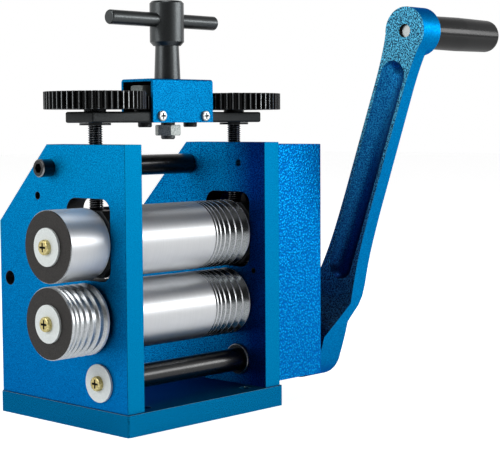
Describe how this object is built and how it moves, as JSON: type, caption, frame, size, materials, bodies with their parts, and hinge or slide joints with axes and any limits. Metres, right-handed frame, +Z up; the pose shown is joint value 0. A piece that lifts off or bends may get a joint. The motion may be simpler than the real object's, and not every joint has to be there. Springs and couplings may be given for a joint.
{
  "type": "jewellers rolling mill",
  "caption": "Hand-cranked bench rolling mill for jewellers: grooved steel rolls between side plates, geared tee handle that sets the gap, and a long crank on a covered drive.",
  "frame": {"origin": "centre of the underside of the base plate", "axes": "+Z up, +X towards the crank side along the rolls, -Y the side that work is fed from"},
  "size_m": [0.2965, 0.1689, 0.2345],
  "materials": {
    "hammered_blue_paint": "blue hammertone enamel",
    "ground_steel": "ground and polished",
    "black_oxide_steel": "black oxide, lightly oiled",
    "bright_zinc": "bright zinc plate",
    "yellow_zinc": "yellow passivated zinc plate",
    "spring_steel": "drawn wire",
    "grey_steel": "machined, oiled",
    "bearing_bronze": "sintered bronze, oiled",
    "black_grip": "moulded, fine matt"
  },
  "bodies": {
    "frame": {"base_plate": "hammered_blue_paint", "left_side_plate": "hammered_blue_paint", "right_side_plate": "hammered_blue_paint", "plate_screws": "black_oxide_steel", "tie_rod": "black_oxide_steel", "tie_rod_screws": "black_oxide_steel", "gear_cover": "hammered_blue_paint", "cover_pillars": "bright_zinc", "gear_cover_screws": "bright_zinc", "lower_left_bush": "bearing_bronze", "lower_right_bush": "bearing_bronze", "drive_left_bush": "bearing_bronze", "drive_right_bush": "bearing_bronze", "left_lift_springs": "spring_steel", "right_lift_springs": "spring_steel"},
    "upper_blocks": {"left_upper_block": "grey_steel", "right_upper_block": "grey_steel"},
    "upper_roll_set": {"upper_roll": "ground_steel", "upper_extension_roll": "ground_steel", "upper_thrust_washer": "ground_steel", "upper_end_washer": "bright_zinc", "upper_end_screw": "yellow_zinc", "upper_roll_gear": "grey_steel", "upper_gear_ring": "grey_steel"},
    "lower_roll_set": {"lower_roll": "ground_steel", "lower_extension_roll": "ground_steel", "lower_end_washer": "bright_zinc", "lower_end_screw": "yellow_zinc", "lower_roll_gear": "grey_steel", "reduction_gear": "grey_steel", "lower_gear_ring": "grey_steel"},
    "crank": {"drive_shaft": "black_oxide_steel", "drive_pinion": "grey_steel", "shaft_end_washer": "bright_zinc", "shaft_end_screw": "yellow_zinc", "crank_arm": "hammered_blue_paint", "crank_washer": "bright_zinc", "crank_screw": "black_oxide_steel", "grip_spindle": "bright_zinc"},
    "grip": {"handle_grip": "black_grip"},
    "bridge": {"bridge_bar": "black_oxide_steel", "bridge_cover": "hammered_blue_paint", "bridge_cover_screws": "bright_zinc", "idler_axles": "bright_zinc", "idler_nuts": "bright_zinc"},
    "left_screw": {"left_adjusting_screw": "black_oxide_steel", "left_screw_collar": "bright_zinc", "left_screw_clip": "bright_zinc", "left_screw_gear": "black_oxide_steel"},
    "right_screw": {"right_adjusting_screw": "black_oxide_steel", "right_screw_collar": "bright_zinc", "right_screw_clip": "bright_zinc", "right_screw_gear": "black_oxide_steel"},
    "left_idler": {"left_idler_gear": "black_oxide_steel"},
    "right_idler": {"right_idler_gear": "black_oxide_steel"},
    "tee_handle": {"tee_spindle": "black_oxide_steel", "tee_bar": "black_oxide_steel", "tee_nut": "bright_zinc", "tee_pinion": "black_oxide_steel"}
  },
  "joints": [
    {"name": "crank_turn", "type": "hinge", "parent": "frame", "child": "crank", "pos_m": [0, -0.0317, 0.02667], "axis": [1, 0, 0], "continuous": true},
    {"name": "grip_spin", "type": "hinge", "parent": "crank", "child": "grip", "pos_m": [0, -0.09922, 0.21949], "axis": [1, 0, 0], "continuous": true},
    {"name": "lower_roll_turn", "type": "hinge", "parent": "frame", "child": "lower_roll_set", "pos_m": [0, -0.0237, 0.061], "axis": [1, 0, 0], "continuous": true},
    {"name": "block_lift", "type": "slide", "parent": "frame", "child": "upper_blocks", "axis": [0, 0, 1], "range_m": [-0.0016, 0.0034], "stiffness_N_per_m": 1500, "springref_m": 0.0097, "deforming": ["left_lift_springs", "right_lift_springs"]},
    {"name": "upper_roll_turn", "type": "hinge", "parent": "upper_blocks", "child": "upper_roll_set", "pos_m": [0, -0.0237, 0.10164], "axis": [1, 0, 0], "continuous": true},
    {"name": "bridge_lift", "type": "slide", "parent": "frame", "child": "bridge", "axis": [0, 0, 1], "range_m": [-0.0016, 0.0034]},
    {"name": "tee_turn", "type": "hinge", "parent": "bridge", "child": "tee_handle", "pos_m": [0, -0.0237, 0.2], "axis": [0, 0, 1], "range_deg": [-1540, 3270]},
    {"name": "left_screw_turn", "type": "hinge", "parent": "bridge", "child": "left_screw", "pos_m": [-0.0535, -0.0237, 0.17], "axis": [0, 0, 1], "range_deg": [-462, 982]},
    {"name": "right_screw_turn", "type": "hinge", "parent": "bridge", "child": "right_screw", "pos_m": [0.0535, -0.0237, 0.17], "axis": [0, 0, 1], "range_deg": [-462, 982]},
    {"name": "left_idler_turn", "type": "hinge", "parent": "bridge", "child": "left_idler", "pos_m": [-0.01748, -0.0237, 0.177], "axis": [0, 0, 1], "range_deg": [-2725, 1285]},
    {"name": "right_idler_turn", "type": "hinge", "parent": "bridge", "child": "right_idler", "pos_m": [0.01748, -0.0237, 0.177], "axis": [0, 0, 1], "range_deg": [-2725, 1285]}
  ],
  "couplings": [
    {"joint": "lower_roll_turn", "follows": "crank_turn", "ratio": -0.38235},
    {"joint": "upper_roll_turn", "follows": "crank_turn", "ratio": 0.38235},
    {"joint": "tee_turn", "follows": "bridge_lift", "rad_per_m": 16755},
    {"joint": "left_screw_turn", "follows": "bridge_lift", "rad_per_m": 5026.5},
    {"joint": "right_screw_turn", "follows": "bridge_lift", "rad_per_m": 5026.5},
    {"joint": "left_idler_turn", "follows": "bridge_lift", "rad_per_m": -13963},
    {"joint": "right_idler_turn", "follows": "bridge_lift", "rad_per_m": -13963},
    {"joint": "block_lift", "follows": "bridge_lift", "ratio": 1}
  ]
}
